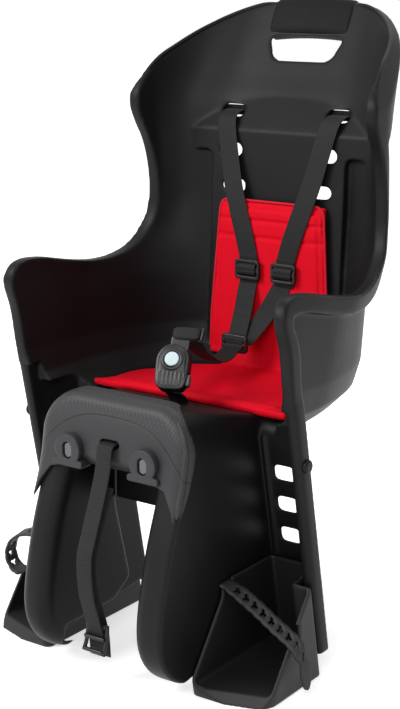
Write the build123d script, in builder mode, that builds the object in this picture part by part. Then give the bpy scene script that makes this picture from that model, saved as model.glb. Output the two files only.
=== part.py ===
# Child bike seat for a rear carrier: moulded bucket, leg guards, footrests, harness and carrier block.
# Frame: origin in the middle of the carrier block's underside, +Z up, the child faces -Y. Millimetres.
import os
from math import cos, pi, sin
from build123d import *

os.makedirs("parts", exist_ok=True)

# Shell sizes
wall = 4.0
lip_out = 15.0
lip_depth = 20.0
floor_top = 103.0
floor_thick = 5.0
bottom_round = 56.0
seat_half = 172.0
waist_half = 151.0
head_half = 152.0
back_y = 185.0
waist_z = 312.0
top_z = 541.0
panel_half = 92.0
panel_foot_y = back_y - 20
panel_lean = 0.034
panel_top = 391.0
ledge_z = 366.0
crown_z = 434.0

# Leg guards: the rim and the rail wall lean back together on the way down
lean = 0.205
rim_foot_y = -48.0
rail_foot_y = 11.0
guard_bottom = -145.0
guard_top = 150.0
leg_room = 15.0
window_wide = 23.0
window_high = 15.5
window_pitch = 38.0
window_first_z = 7.0
rail_rib = 3.5
rail_half = 19.5
roll = 18.0

# Arch over the wheel
arch_half = 96.0
tunnel_half = 58.0
arch_top = 137.0
tunnel_top = 66.0
arch_wall = 4.5
arch_bottom = -160.0
arch_round = 45.0
arch_edge = 16.0
tunnel_round = 18.0

# Openings for hands and straps
grip_half = 50.0
grip_low = 498.0
grip_gap = 27.0
slot_high = 14.0
harness_slots = [(412.0, 72.0), (368.0, 65.0), (326.0, 59.0)]
crotch_x = 6.0
crotch_y = -30.0
strap_wide = 20.0

# Carrier block and its bolts
block_half = 62.0
block_front = -60.0
block_back = 60.0
bolt_x = 72.0
bolt_y = 80.0
bolt_r = 3.25
screw_x = 38.0
screw_y = 36.0
screw_r = 3.0
screw_head_r = 6.0
screw_head = 3.0

# Rods between the arch and the block
rod_x = 50.0
rod_z = tunnel_top + 14
rod_wide = 11.0
rod_high = 18.0
strap_slot_z = rod_z + 13
collar_r = 17.0

# Grey trim over the front of the arch
trim_thick = 4.5
trim_side = 2.5
trim_low = tunnel_top - 4

# Pad, webbing and clearances
pad_thick = 9.0
pad_top = 312.0
web_wide = 25.0
web_thick = 1.6
slot_long = web_wide + 6
rest_gap = 0.3
run_gap = 0.5

# Harness buckle
buckle_wide = 46.0
buckle_high = 58.0
buckle_deep = 18.0
button_r = 8.0
button_at = (-2, 4)
tab_at = 12 - buckle_high / 2
yoke_x = -18.0

# Footrest
foot_in = arch_half + 2
foot_mid = seat_half - 24
foot_out = seat_half + lip_out
foot_wall = 4.0
foot_low = -168.0
foot_high = -58.0
foot_front = -136.0
foot_floor = 12.0

shell_x = seat_half + lip_out
rail_x = (foot_in + foot_mid) / 2 + 1


def rim_y(z):
    """Front of the leg guard's rim at a height."""
    return rim_foot_y - lean * z


def rail_y(z):
    """Front of the rail wall at a height."""
    return rail_foot_y - lean * z


def bucket_section(z, half, centre, back, grow, front=-140):
    """Plan outline of the bucket: straight sides, blunt rear corners and a flat back."""
    w = half + grow
    b = back + grow
    quarter = [(1, 0), (0.965, 0.3), (0.872, 0.61), (0.727, 0.81), (0.55, 0.935), (0.33, 0.985)]
    right = [(w * u, centre + (b - centre) * v) for u, v in quarter]
    left = [(-u, v) for u, v in reversed(right)]
    with BuildSketch(Plane.XY.offset(z)) as plan:
        with BuildLine():
            Line((-w, front - grow), (w, front - grow))
            Line((w, front - grow), right[0])
            Spline(*right, (0, b), *left, tangents=[(0, 1), (0, -1)])
            Line(left[-1], (-w, front - grow))
        make_face()
    return plan.sketch


levels = [
    (215, seat_half, 12, back_y + 1),
    (242, seat_half - 1, 40, back_y + 1.5),
    (268, seat_half - 6, 85, back_y + 2),
    (290, waist_half + 6, 118, back_y + 3),
    (waist_z, waist_half, 136, back_y + 4),
    (368, waist_half - 1, 136, back_y + 4),
    (398, waist_half, 134, back_y + 8),
    (425, head_half, 132, back_y + 16),
    (455, head_half, 130, back_y + 32),
    (552, head_half, 130, back_y + 80),
]


def eased(rows, parts):
    """Rows of sizes with smooth in-between rows, so that the surface bends without creases."""
    out = []
    for k in range(len(rows) - 1):
        before = rows[max(k - 1, 0)]
        after = rows[min(k + 2, len(rows) - 1)]
        for step in range(parts):
            t = step / parts
            blend = (2 * t**3 - 3 * t**2 + 1, t**3 - 2 * t**2 + t, 3 * t**2 - 2 * t**3, t**3 - t**2)
            h = rows[k + 1][0] - rows[k][0]
            row = []
            for a, b, c, d in zip(before, rows[k], rows[k + 1], after):
                leave = (c - a) / (rows[k + 1][0] - before[0]) * h
                reach = (d - b) / (after[0] - rows[k][0]) * h
                row.append(blend[0] * b + blend[1] * leave + blend[2] * c + blend[3] * reach)
            row[0] = rows[k][0] + t * h
            out.append(tuple(row))
    return out + [rows[-1]]


def bucket_body(bottom, radius, grow):
    """Solid bucket from the floor, over its rounded edge, to above the head."""
    plans = []
    for turn in (0, 30, 60, 90):
        level = bottom + radius * (1 - cos(turn * pi / 180))
        drawn_in = radius * (1 - sin(turn * pi / 180))
        plans.append(bucket_section(level, seat_half - 1, 0, back_y - 2, grow - drawn_in))
    plans += [bucket_section(*level, grow) for level in eased(levels, 3)]
    with BuildPart() as body:
        loft(plans, ruled=True)
    return body.part


hollow = bucket_body(floor_top, bottom_round - wall, 0)
skin = bucket_body(floor_top - floor_thick, bottom_round, wall)
mid_skin = bucket_body(floor_top - floor_thick / 2, bottom_round - wall / 2, wall / 2)
lip_skin = bucket_body(floor_top - floor_thick - lip_out + wall, bottom_round, lip_out)

# Side view of the rim, from above the head down to the leg guard
rim_side = [
    (214, 575), (192, 528), (172, 501), (151, 478), (129, 459), (113, 442), (108, 425), (115, 404),
    (128, 381), (138, 354), (143, 315), (139, 287), (128, 268), (110, 253), (86, 244.5), (60, 241.5),
    (35, 243.5), (-20, 254), (-70, 261.5), (-90, 257), (-99, 243), (rim_y(215), 215),
    (rim_y(175), 175), (rim_y(120), 120), (rim_y(60), 60),
]
# Front view of the head's top edge, right half
rim_front = [
    (0, top_z), (56, top_z - 3.5), (80, top_z - 9), (100, top_z - 17), (117, top_z - 27),
    (132, top_z - 39), (143, top_z - 53), (152, top_z - 70), (160, top_z - 90), (171, top_z - 118),
    (188, top_z - 150), (215, top_z - 180),
]


def inset(points, step):
    """Points of a curve moved to the left of its run; those a tight corner swallows are left out."""
    moved = []
    for k, (a, b) in enumerate(points):
        p = points[max(k - 1, 0)]
        q = points[min(k + 1, len(points) - 1)]
        run = ((q[0] - p[0]) ** 2 + (q[1] - p[1]) ** 2) ** 0.5
        m = (a - step * (q[1] - p[1]) / run, b + step * (q[0] - p[0]) / run)
        near = min((m[0] - c) ** 2 + (m[1] - d) ** 2 for c, d in points) ** 0.5
        if near >= 0.93 * abs(step):
            moved.append(m)
    return moved


def rim_region(step):
    """Everything behind the rim's side view and under its front view, drawn in by a step."""
    side = inset(rim_side, step)
    half = [(0, top_z - step)] + inset(rim_front, -step)[1:]
    left = [(-a, b) for a, b in reversed(half[1:])]
    with BuildPart() as region:
        with BuildSketch(Plane.YZ):
            with BuildLine():
                Spline(*side)
                Polyline(side[-1], (320, 40), (320, 590), side[0])
            make_face()
        extrude(amount=240, both=True)
        with BuildSketch(Plane.XZ):
            with BuildLine():
                Spline(*left, *half)
                Polyline(half[-1], (230, 30), (-230, 30), left[0])
            make_face()
        extrude(amount=400, both=True, mode=Mode.INTERSECT)
    return region.part


region_full = rim_region(0)
region_rim = rim_region(lip_depth)

# The edge of the bucket is thickened outwards into a rounded-over rim
with BuildPart() as beyond_rim:
    add(region_rim, clean=False)
    add(skin, mode=Mode.SUBTRACT, clean=False)

roll_y = rail_y(floor_top - roll) + roll
with BuildPart() as bucket:
    add(lip_skin, clean=False)
    add(hollow, mode=Mode.SUBTRACT, clean=False)
    add(region_full, mode=Mode.INTERSECT, clean=False)
    add(beyond_rim.part, mode=Mode.SUBTRACT, clean=False)
    # room for the legs in front of the pan
    with Locations((0, -143, 100)):
        Box(420, 170, 80, mode=Mode.SUBTRACT)
    with Locations((0, (roll_y - 115) / 2, floor_top - 20)):
        Box(2 * seat_half, roll_y + 115, 40, mode=Mode.SUBTRACT)
    with Locations((0, (rail_y(floor_top) + wall - 115) / 2, floor_top + leg_room / 2)):
        Box(2 * seat_half, rail_y(floor_top) + wall + 115, leg_room, mode=Mode.SUBTRACT)
    split(bisect_by=Plane.YZ, keep=Keep.TOP)
    mirror(about=Plane.YZ)

# Leg guards: outer wall with its rim, rail wall with ribs, and the pan's rolled front edge
guard_dir = Vector(0, -lean, 1).normalized()
stretch = (1 + lean * lean) ** 0.5
foot_rim = rim_y(guard_bottom)
foot_rail = rail_y(guard_bottom)
guard_in = foot_mid + 4
cheek_in = seat_half - bottom_round + wall
with BuildPart() as guards:
    with BuildSketch(Plane.XY.offset(guard_bottom)):
        with BuildLine():
            Polyline(
                (shell_x, foot_rim + lip_depth), (shell_x, foot_rim), (seat_half, foot_rim),
                (seat_half, foot_rim + 14), (guard_in, foot_rail), (guard_in + wall, foot_rail + wall),
                (seat_half + wall, foot_rim + 16), (seat_half + wall, foot_rim + wall),
                (shell_x - wall, foot_rim + wall), (shell_x - wall, foot_rim + lip_depth), close=True,
            )
        outer_wall = make_face()
        fillet(outer_wall.vertices().group_by(Axis.Y)[0], 5)
    extrude(amount=(guard_top - guard_bottom) * stretch, dir=guard_dir)
    with BuildSketch(Plane.XY.offset(guard_bottom)):
        with BuildLine():
            Polyline(
                (arch_half - 3, foot_rail), (guard_in, foot_rail), (guard_in + wall, foot_rail + wall),
                (arch_half - 3, foot_rail + wall), close=True,
            )
        make_face()
        with Locations((rail_x - rail_half - rail_rib / 2, foot_rail - rail_rib / 2 + 0.5),
                       (rail_x + rail_half + rail_rib / 2, foot_rail - rail_rib / 2 + 0.5)):
            Rectangle(rail_rib, rail_rib + 1)
    extrude(amount=(floor_top - roll - guard_bottom) * stretch, dir=guard_dir)
    with BuildSketch(Plane.YZ.offset(arch_half - 3)):
        with BuildLine():
            CenterArc((roll_y, floor_top - roll), roll, 90, 90)
            CenterArc((roll_y, floor_top - roll), roll - floor_thick, 90, 90)
            Line((roll_y, floor_top), (roll_y, floor_top - floor_thick))
            Line((roll_y - roll, floor_top - roll), (roll_y - roll + floor_thick, floor_top - roll))
        make_face()
    extrude(amount=guard_in - 8 - arch_half + 3)
    # cheek between the rolled edge and the bucket's rounded corner
    with BuildSketch(Plane.XY.offset(floor_top - roll)):
        with Locations(((cheek_in + guard_in + wall) / 2, rail_y(floor_top - roll) + 0.75 * wall)):
            Rectangle(guard_in + wall - cheek_in, 1.5 * wall)
    extrude(amount=(roll + 2 * leg_room) * stretch, dir=guard_dir)
    for k in range(3):
        z = window_first_z + window_pitch * (1 - k)
        with Locations((rail_x, rail_y(z), z)):
            Box(window_wide, 30, window_high, mode=Mode.SUBTRACT)
    add(hollow, mode=Mode.SUBTRACT, clean=False)
    mirror(about=Plane.YZ)

# Arch over the wheel, open behind
arch_front = [
    (-128, arch_top), (-135, 115), (-140.5, 90), (-146, 62), (-157, 30),
    (-168, 0), (-178, -35), (-186, -75), (-186, -105), (-175, -131), (-150, -151), (-116, arch_bottom),
    (-70, arch_bottom - 7),
]
arch_rear = [
    (rail_y(guard_bottom) + 2, guard_bottom), (rail_y(85) + 2, 85), (roll_y + 6, 98.5),
    (roll_y + 6, floor_top),
]


def hoop(step):
    """Front view of the arch, drawn in by a step."""
    with BuildSketch(Plane.XZ) as view:
        with BuildLine():
            FilletPolyline(
                (-arch_half + step, -200), (-arch_half + step, arch_top - step),
                (arch_half - step, arch_top - step), (arch_half - step, -200),
                radius=arch_round - step,
            )
            Line((arch_half - step, -200), (tunnel_half + step, -200))
            FilletPolyline(
                (tunnel_half + step, -200), (tunnel_half + step, tunnel_top + step),
                (-tunnel_half - step, tunnel_top + step), (-tunnel_half - step, -200),
                radius=tunnel_round,
            )
            Line((-tunnel_half - step, -200), (-arch_half + step, -200))
        make_face()
    return view.sketch


def front_edges(shape):
    """The long front edges of an arch shape's left half; rounding them runs on round the right half."""
    found = []
    for edge in shape.edges():
        middle = edge.center()
        if edge.length > 20 and middle.Y < -120 and middle.X < -5:
            found.append(edge)
    return found


with BuildPart() as arch_body:
    extrude(hoop(0), amount=260, both=True)
    with BuildSketch(Plane.YZ):
        with BuildLine():
            Spline(*arch_front)
            Polyline(arch_front[-1], *arch_rear, arch_front[0])
        make_face()
    extrude(amount=200, both=True, mode=Mode.INTERSECT)
    fillet(front_edges(arch_body), arch_edge)
    # the legs end on a slant
    with BuildSketch(Plane.YZ):
        with BuildLine():
            Polyline(
                (-260, arch_bottom - 5), (100, guard_bottom + 14), (100, -300), (-260, -300), close=True,
            )
        make_face()
    extrude(amount=200, both=True, mode=Mode.SUBTRACT)

inner_front = inset(arch_front, arch_wall)
with BuildPart() as arch_hollow:
    extrude(hoop(arch_wall), amount=260, both=True)
    with BuildSketch(Plane.YZ):
        with BuildLine():
            Spline(*inner_front)
            Polyline(
                inner_front[-1], (-60, -190), (150, -190), (150, floor_top - floor_thick),
                (roll_y + 6, floor_top - floor_thick), inner_front[0],
            )
        make_face()
    extrude(amount=200, both=True, mode=Mode.INTERSECT)
    fillet(front_edges(arch_hollow), arch_edge - arch_wall)

with BuildPart() as arch:
    add(arch_body.part)
    add(arch_hollow.part, mode=Mode.SUBTRACT)
    # the wall beside the wheel ends short of the rail wall
    with BuildSketch(Plane.YZ):
        with BuildLine():
            FilletPolyline(
                (120, 62), (-60, 62), (-60, -9), (-35, -104), (-66, -123), (-152, -125), (-152, -220),
                radius=[3, 60, 10, 20, 4],
            )
            Polyline((-152, -220), (120, -220), (120, 62))
        make_face()
    extrude(amount=tunnel_half + arch_wall + 3, both=True, mode=Mode.SUBTRACT)
    # room for the carrier block
    with Locations((0, block_front + 99.5, floor_top - floor_thick - 50)):
        Box(2 * block_half + 1.2, 200, 100, mode=Mode.SUBTRACT)

# Raised back panel with shoulders, hollow behind
def back_at(z):
    """Front of the head part at a height, on the centre line."""
    rows = eased(levels, 3)
    for low, high in zip(rows, rows[1:]):
        if low[0] <= z <= high[0]:
            return low[3] + (high[3] - low[3]) * (z - low[0]) / (high[0] - low[0])


def panel_y(z):
    """Front of the raised panel at a height."""
    return panel_foot_y + panel_lean * (z - 107)


with BuildPart() as panel:
    with BuildSketch(Plane.YZ):
        with BuildLine():
            Polyline(
                (panel_y(floor_top), floor_top - 2), (panel_y(panel_top), panel_top),
                (back_at(crown_z) + 1, crown_z), (back_y + 30, crown_z), (back_y + 30, floor_top - 2),
                close=True,
            )
        make_face()
    extrude(amount=head_half, both=True)
    # front view: the panel widens into shoulders under an arched line
    with BuildSketch(Plane.XZ):
        with BuildLine():
            FilletPolyline(
                (-head_half, ledge_z + 6), (-head_half, ledge_z), (-panel_half, ledge_z), (-panel_half, 90),
                (panel_half, 90), (panel_half, ledge_z), (head_half, ledge_z), (head_half, ledge_z + 6),
                radius=[1, 9, 1, 1, 9, 1],
            )
            Spline(
                (head_half, ledge_z + 6), (110, crown_z - 26), (60, crown_z - 6), (0, crown_z),
                (-60, crown_z - 6), (-110, crown_z - 26), (-head_half, ledge_z + 6),
            )
        make_face()
    extrude(amount=400, both=True, mode=Mode.INTERSECT)
    add(mid_skin, mode=Mode.INTERSECT, clean=False)

with BuildPart() as panel_pocket:
    with BuildSketch(Plane.YZ):
        with BuildLine():
            Polyline(
                (panel_y(115) + wall, 115), (panel_y(panel_top) + wall, panel_top - 3),
                (240, panel_top - 3), (240, 115), close=True,
            )
        make_face()
    extrude(amount=panel_half - wall, both=True)

with BuildPart() as seat_shell:
    add(bucket.part, clean=False)
    add(guards.part, clean=False)
    add(arch.part, clean=False)
    add(panel.part, clean=False)
    add(panel_pocket.part, mode=Mode.SUBTRACT, clean=False)
    # handle opening, harness slots, crotch slot
    with BuildSketch(Plane.XZ):
        with BuildLine():
            FilletPolyline(
                (-grip_half, grip_low), (grip_half, grip_low), (grip_half - 12, grip_low - grip_gap),
                (-grip_half + 12, grip_low - grip_gap), close=True, radius=[5, 5, 13, 13],
            )
        make_face()
        for level, middle in harness_slots:
            with Locations((-middle, level), (middle, level)):
                SlotOverall(slot_long, slot_high)
    extrude(amount=-330, mode=Mode.SUBTRACT)
    with BuildSketch(Plane.XY.offset(80)):
        with Locations((crotch_x, crotch_y)):
            SlotOverall(web_wide + 11, 10)
    extrude(amount=70, mode=Mode.SUBTRACT)
    with Locations(Plane.XY.offset(floor_top)):
        with GridLocations(2 * screw_x, 2 * screw_y, 2, 2):
            CounterBoreHole(screw_r + 0.2, screw_head_r + 0.4, screw_head + 0.6, 12)
    with BuildSketch(Plane.XZ.offset(100)):
        with Locations((-rod_x, rod_z), (rod_x, rod_z)):
            SlotOverall(rod_high + 2, rod_wide + 2, rotation=90)
        with Locations((0, strap_slot_z)):
            SlotOverall(strap_wide + 6, 9)
    extrude(amount=70, mode=Mode.SUBTRACT)


# Carrier block under the pan, hollow, with sockets for the rods and pillars for the pan screws
block_top = floor_top - floor_thick
with BuildPart() as carrier_block:
    with Locations((0, (block_front + block_back) / 2, block_top / 2)):
        Box(2 * block_half, block_back - block_front, block_top)
    fillet(carrier_block.edges().filter_by(Axis.Z), 8)
    with Locations((0, (block_front + block_back) / 2, block_top / 2 + 4)):
        Box(2 * block_half - 10, block_back - block_front - 10, block_top - 8, mode=Mode.SUBTRACT)
    with BuildSketch(Plane.XY.offset(4)):
        with GridLocations(2 * screw_x, 2 * screw_y, 2, 2):
            Circle(screw_r + 4)
    extrude(amount=block_top - 4)
    with BuildSketch(Plane.XZ.offset(-block_front - 1)):
        with Locations((-rod_x + 4, rod_z), (rod_x - 4, rod_z)):
            Rectangle(30, rod_high + 12)
    extrude(amount=-44)
    with Locations(Plane.XY.offset(block_top)):
        with GridLocations(2 * screw_x, 2 * screw_y, 2, 2):
            Hole(screw_r + 0.2, 24)
    with BuildSketch(Plane.XZ.offset(-block_front + 20)):
        with Locations((-rod_x, rod_z), (rod_x, rod_z)):
            SlotOverall(rod_high + 2 * rest_gap, rod_wide + 2 * rest_gap, rotation=90)
    extrude(amount=-58, mode=Mode.SUBTRACT)
    with GridLocations(bolt_x, bolt_y, 2, 2):
        Hole(bolt_r, 20)

with BuildPart() as pan_screws:
    with GridLocations(2 * screw_x, 2 * screw_y, 2, 2):
        with Locations((0, 0, floor_top - screw_head / 2 - 0.6)):
            Cylinder(screw_head_r, screw_head)
        with Locations((0, 0, floor_top - screw_head - 10)):
            Cylinder(screw_r, 20)

with BuildPart() as support_rod_right:
    with BuildSketch(Plane.XZ.offset(153)):
        with Locations((rod_x, rod_z)):
            SlotOverall(rod_high, rod_wide, rotation=90)
    extrude(amount=-128)
    fillet(support_rod_right.faces().sort_by(Axis.Y)[0].edges(), 2)

# Grey trim over the front of the arch, with a strap slot and openings for the rods
trim_front = inset(arch_front, -trim_thick)
with BuildPart() as arch_trim:
    extrude(hoop(-trim_side), amount=260, both=True)
    with BuildSketch(Plane.YZ):
        with BuildLine():
            Spline((trim_front[0][0] + 1, arch_top + 9), *trim_front[:8])
            Polyline(trim_front[7], (-60, trim_front[7][1]), (-60, arch_top + 9),
                     (trim_front[0][0] + 1, arch_top + 9))
        make_face()
    extrude(amount=200, both=True, mode=Mode.INTERSECT)
    fillet(front_edges(arch_trim), arch_edge)
    # side view: the trim narrows on its way down the legs
    with BuildSketch(Plane.YZ):
        with BuildLine():
            Polyline((-220, arch_top + 20), (-104, arch_top + 20), (-106, arch_top))
            Spline(
                (-106, arch_top), (-118, arch_top - 5), (-126, arch_top - 17), (-126, 101), (-129, 82),
                (-134, 68), (-142, 48), (-155, 26), (-163, 10),
            )
            Polyline((-163, 10), (-220, 10), (-220, arch_top + 20))
        make_face()
    extrude(amount=200, both=True, mode=Mode.INTERSECT)
    # front view: its lower edge runs out along the legs
    with BuildSketch(Plane.XZ):
        with BuildLine():
            leg = [(120, 0), (arch_half + trim_side, 12), (arch_half - 8, 40), (arch_half - 20, trim_low - 4)]
            Polyline(
                *[(-a, b) for a, b in leg], (-tunnel_half, trim_low), (tunnel_half, trim_low), *reversed(leg),
                close=True,
            )
        make_face()
    extrude(amount=300, mode=Mode.SUBTRACT)
    add(arch_body.part, mode=Mode.SUBTRACT)
    with BuildSketch(Plane.XZ.offset(100)):
        with Locations((-rod_x, rod_z), (rod_x, rod_z)):
            SlotOverall(rod_high + 2, rod_wide + 2, rotation=90)
        with Locations((0, strap_slot_z)):
            SlotOverall(strap_wide + 6, 9)
    extrude(amount=70, mode=Mode.SUBTRACT)

with BuildPart() as rod_collar_right:
    with BuildSketch(Plane.XZ.offset(138)):
        with Locations((rod_x, rod_z + 1)):
            Circle(collar_r)
        with Locations((rod_x, rod_z - 14)):
            RectangleRounded(40, 8, 3)
    extrude(amount=17)
    fillet(rod_collar_right.faces().sort_by(Axis.Y)[0].edges(), 1.5)
    with BuildSketch(Plane.XZ.offset(100)):
        with Locations((rod_x, rod_z)):
            SlotOverall(rod_high + 2 * rest_gap, rod_wide + 2 * rest_gap, rotation=90)
    extrude(amount=70, mode=Mode.SUBTRACT)
    add(arch_body.part, mode=Mode.SUBTRACT)
    add(arch_trim.part, mode=Mode.SUBTRACT)


# Grip sleeve on the top bar
with BuildPart() as handle_grip:
    low = grip_low - 4
    high = top_z + 3
    with BuildSketch(Plane.YZ):
        with BuildLine():
            FilletPolyline(
                (back_at(low) - 5, low), (back_at(high) - 5, high), (back_at(high) + 19, high),
                (back_at(low) + 16, low), close=True, radius=[6, 6, 10, 6],
            )
        make_face()
    extrude(amount=grip_half + 6, both=True)
    add(rim_region(-2), mode=Mode.INTERSECT)
    add(seat_shell.part, mode=Mode.SUBTRACT)

# Pad: a seat part and a back part, one soft piece
with BuildPart() as pad_room:
    with BuildSketch(Plane.XY.offset(95)):
        with BuildLine():
            Polyline(
                (-56, 175), (-58, 144), (-76, 132), (-98, 108), (-122, 66), (-132, 20), (-132, -20),
                (132, -20), (132, 20), (122, 66), (98, 108), (76, 132), (58, 144), (56, 175), close=True,
            )
        make_face()
    extrude(amount=30)
    with BuildSketch(Plane.XZ.offset(-120)):
        with BuildLine():
            edge = [(panel_half - 7, 118), (panel_half - 8, 170), (panel_half - 18, pad_top)]
            Polyline(*[(-a, b) for a, b in edge], *reversed(edge), close=True)
        make_face()
    extrude(amount=-80)

slope = (arch_top - floor_top) / (roll_y + 6 - arch_front[0][0])
pad_front = -10.0
pad_low = floor_top + rest_gap
with BuildPart() as seat_pad:
    with BuildSketch(Plane.YZ):
        with BuildLine():
            Polyline(
                (pad_front, pad_low + slope * (roll_y + 6 - pad_front)), (roll_y + 6, pad_low),
                (148, pad_low), (panel_y(118) - rest_gap, 118), (panel_y(pad_top) - rest_gap, pad_top),
                (panel_y(pad_top) - rest_gap - pad_thick, pad_top),
                (panel_y(124) - rest_gap - pad_thick, 124), (144, pad_low + pad_thick),
                (roll_y + 6, pad_low + pad_thick),
                (pad_front, pad_low + pad_thick + slope * (roll_y + 6 - pad_front)), close=True,
            )
        make_face()
    extrude(amount=140, both=True)
    add(pad_room.part, mode=Mode.INTERSECT)
    add(bucket_body(floor_top + rest_gap, bottom_round - wall, -rest_gap), mode=Mode.INTERSECT, clean=False)


def band(points, thick):
    """A thin band along a path in the side view."""
    near = inset(points, thick / 2)
    far = inset(points, -thick / 2)
    with BuildSketch(Plane.YZ) as face:
        with BuildLine():
            Polyline(*near, *reversed(far), close=True)
        make_face()
    return face.sketch


# Webbing: each run is a side view band cut to its front or plan outline
def outline(points, wide, plane):
    """A ribbon outline of a given width along a path."""
    near = inset(points, wide / 2)
    far = inset(points, -wide / 2)
    with BuildSketch(plane) as face:
        with BuildLine():
            Polyline(*near, *reversed(far), close=True)
        make_face()
    return face.sketch


slot_z, slot_x = harness_slots[0]
shoulder_run = [
    (24.6, slot_z + 0.5), (12.65, slot_z - 0.5), (0.9, slot_z - 8), (-3.95, slot_z - 27), (-8.1, slot_z - 67),
    (-11.5, pad_top), (-13.5, 270), (-13.55, 226),
]
shoulder_side = [(panel_y(z) + ahead, z) for ahead, z in shoulder_run]
shoulder_front = [(slot_x + 1, slot_z + 12), (slot_x, slot_z - 4), (54, 332), (30, 260), (25, 240), (24, 214)]
with BuildPart() as shoulder_strap_right:
    extrude(band(shoulder_side, web_thick), amount=130, both=True)
    extrude(outline(shoulder_front, web_wide, Plane.XZ), amount=300, both=True, mode=Mode.INTERSECT)

with BuildPart() as strap_stop_right:
    with Locations((slot_x, panel_y(slot_z) + 28, slot_z)):
        Box(slot_long + 15, 4, 12)
    fillet(strap_stop_right.edges().filter_by(Axis.X), 1.5)

with BuildPart() as strap_adjuster_right:
    with BuildSketch(Plane.XZ.offset(15 - panel_y(230))):
        with Locations((25, 230)):
            RectangleRounded(web_wide + 9, 24, 4)
            with Locations((0, 5.5), (0, -5.5)):
                SlotOverall(web_wide + 3, 4.5, mode=Mode.SUBTRACT)
    extrude(amount=4)
    fillet(strap_adjuster_right.faces().sort_by(Axis.Y)[0].edges(), 0.8)

lower_top = panel_y(238) - 11.05
lower_side = [
    (lower_top, 238), (lower_top, 220), (152.5, 198), (144.5, 176), (132.5, 157), (123.5, 148),
]
with BuildPart() as lower_strap_right:
    extrude(band(lower_side, web_thick), amount=130, both=True)
    extrude(
        outline([(25, 246), (24, 222), (10, 190), (-16, 140)], web_wide, Plane.XZ), amount=300, both=True,
        mode=Mode.INTERSECT,
    )

with BuildPart() as lower_strap_left:
    layer = [(lower_top, 238), (lower_top, 222), (150, 200), (140.5, 177), (128, 156.5), (119, 147.5)]
    extrude(band(layer, web_thick), amount=130, both=True)
    extrude(
        outline([(-25, 246), (-26, 210), (-24, 170), (-20, 140)], web_wide, Plane.XZ), amount=300, both=True,
        mode=Mode.INTERSECT,
    )

with BuildPart() as harness_yoke:
    with BuildSketch(Plane.XZ.offset(-118.1)):
        with Locations((yoke_x, 148)):
            RectangleRounded(web_wide + 11, 22, 5)
            SlotOverall(web_wide + 3, 4.5, mode=Mode.SUBTRACT)
    extrude(amount=4.5)
    fillet(harness_yoke.faces().sort_by(Axis.Y)[0].edges(), 1)

with BuildPart() as yoke_strap:
    yoke_side = [(112.6, 152), (109, 145), (80, 140), (40, 146), (0, 166), (-14, 181)]
    extrude(band(yoke_side, web_thick), amount=130, both=True)
    extrude(
        outline([(yoke_x, 124), (yoke_x + 2, 100), (10, 20), (16, -24)], web_wide, Plane.XY.offset(60)),
        amount=200, mode=Mode.INTERSECT,
    )

# Harness buckle, standing on the pommel and turned a little to one side
buckle_plane = Plane(origin=(14, -46, 160), x_dir=(0.936, 0.351, 0), z_dir=(0.30, -0.80, 0.52))
buckle_out = Axis(buckle_plane.origin, buckle_plane.z_dir)
face_h = buckle_deep / 2
with BuildPart() as buckle_body:
    with BuildSketch(buckle_plane.offset(-face_h)):
        RectangleRounded(buckle_wide, buckle_high, 11)
    extrude(amount=buckle_deep)
    fillet(buckle_body.faces().sort_by(buckle_out)[-1].edges(), 3)
    with BuildSketch(buckle_plane.offset(face_h)):
        with Locations(button_at):
            Circle(button_r + 4.5)
            Circle(button_r + 0.4, mode=Mode.SUBTRACT)
    extrude(amount=1.2)
    with BuildSketch(buckle_plane.offset(face_h)):
        with Locations(button_at):
            Circle(button_r + 0.4)
    extrude(amount=2 - buckle_deep, mode=Mode.SUBTRACT)
    with BuildSketch(buckle_plane.offset(-5.5)):
        with Locations((4.5 - buckle_wide / 2, tab_at), (buckle_wide / 2 - 4.5, tab_at)):
            Rectangle(11, 15)
    extrude(amount=11, mode=Mode.SUBTRACT)
    with BuildSketch(buckle_plane.offset(-2.2)):
        with Locations((2, buckle_high / 2 - 5)):
            Rectangle(34, 14)
    extrude(amount=4.4, mode=Mode.SUBTRACT)

with BuildPart() as buckle_button:
    with BuildSketch(buckle_plane.offset(face_h - 8)):
        with Locations(button_at):
            Circle(button_r)
    extrude(amount=10.5)
    fillet(buckle_button.edges().filter_by(GeomType.CIRCLE).sort_by(buckle_out)[-1], 1.2)

with BuildPart() as button_spring:
    with BuildSketch(buckle_plane.offset(2 - face_h + rest_gap)):
        with Locations(button_at):
            Circle(button_r - 2.5)
            Circle(button_r - 3.8, mode=Mode.SUBTRACT)
    extrude(amount=buckle_deep - 10 - 2 * rest_gap)

with BuildPart() as buckle_tab_right:
    with BuildSketch(buckle_plane.offset(-5)):
        with Locations((buckle_wide / 2 - 2.8, tab_at)):
            RectangleRounded(9.6, 14, 2)
    extrude(amount=10)

with BuildPart() as buckle_tab_left:
    with BuildSketch(buckle_plane.offset(-5)):
        with Locations((2.8 - buckle_wide / 2, tab_at)):
            RectangleRounded(9.6, 14, 2)
    extrude(amount=10)

with BuildPart() as buckle_tongue:
    with BuildSketch(buckle_plane.offset(-1.5)):
        with Locations((2, buckle_high / 2 - 3)):
            Rectangle(32, 16)
    extrude(amount=3)
    with BuildSketch(buckle_plane.offset(-5)):
        with Locations((8, buckle_high / 2 + 7)):
            RectangleRounded(54, 13, 6)
    extrude(amount=10)

with BuildPart() as crotch_strap:
    crotch_side = [(-28, 108), (-31, 113.5), (-37, 121), (-46, 127), (-58, 134)]
    extrude(band(crotch_side, web_thick), amount=130, both=True)
    extrude(
        outline([(4, -20), (7, -32), (14, -46), (20, -62)], web_wide, Plane.XY.offset(60)),
        amount=200, mode=Mode.INTERSECT,
    )
    add(buckle_body.part, mode=Mode.SUBTRACT)

with BuildPart() as crotch_stop:
    with Locations((crotch_x, crotch_y + 1, floor_top + 1.5)):
        Box(web_wide + 17, 14, 5)

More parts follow.
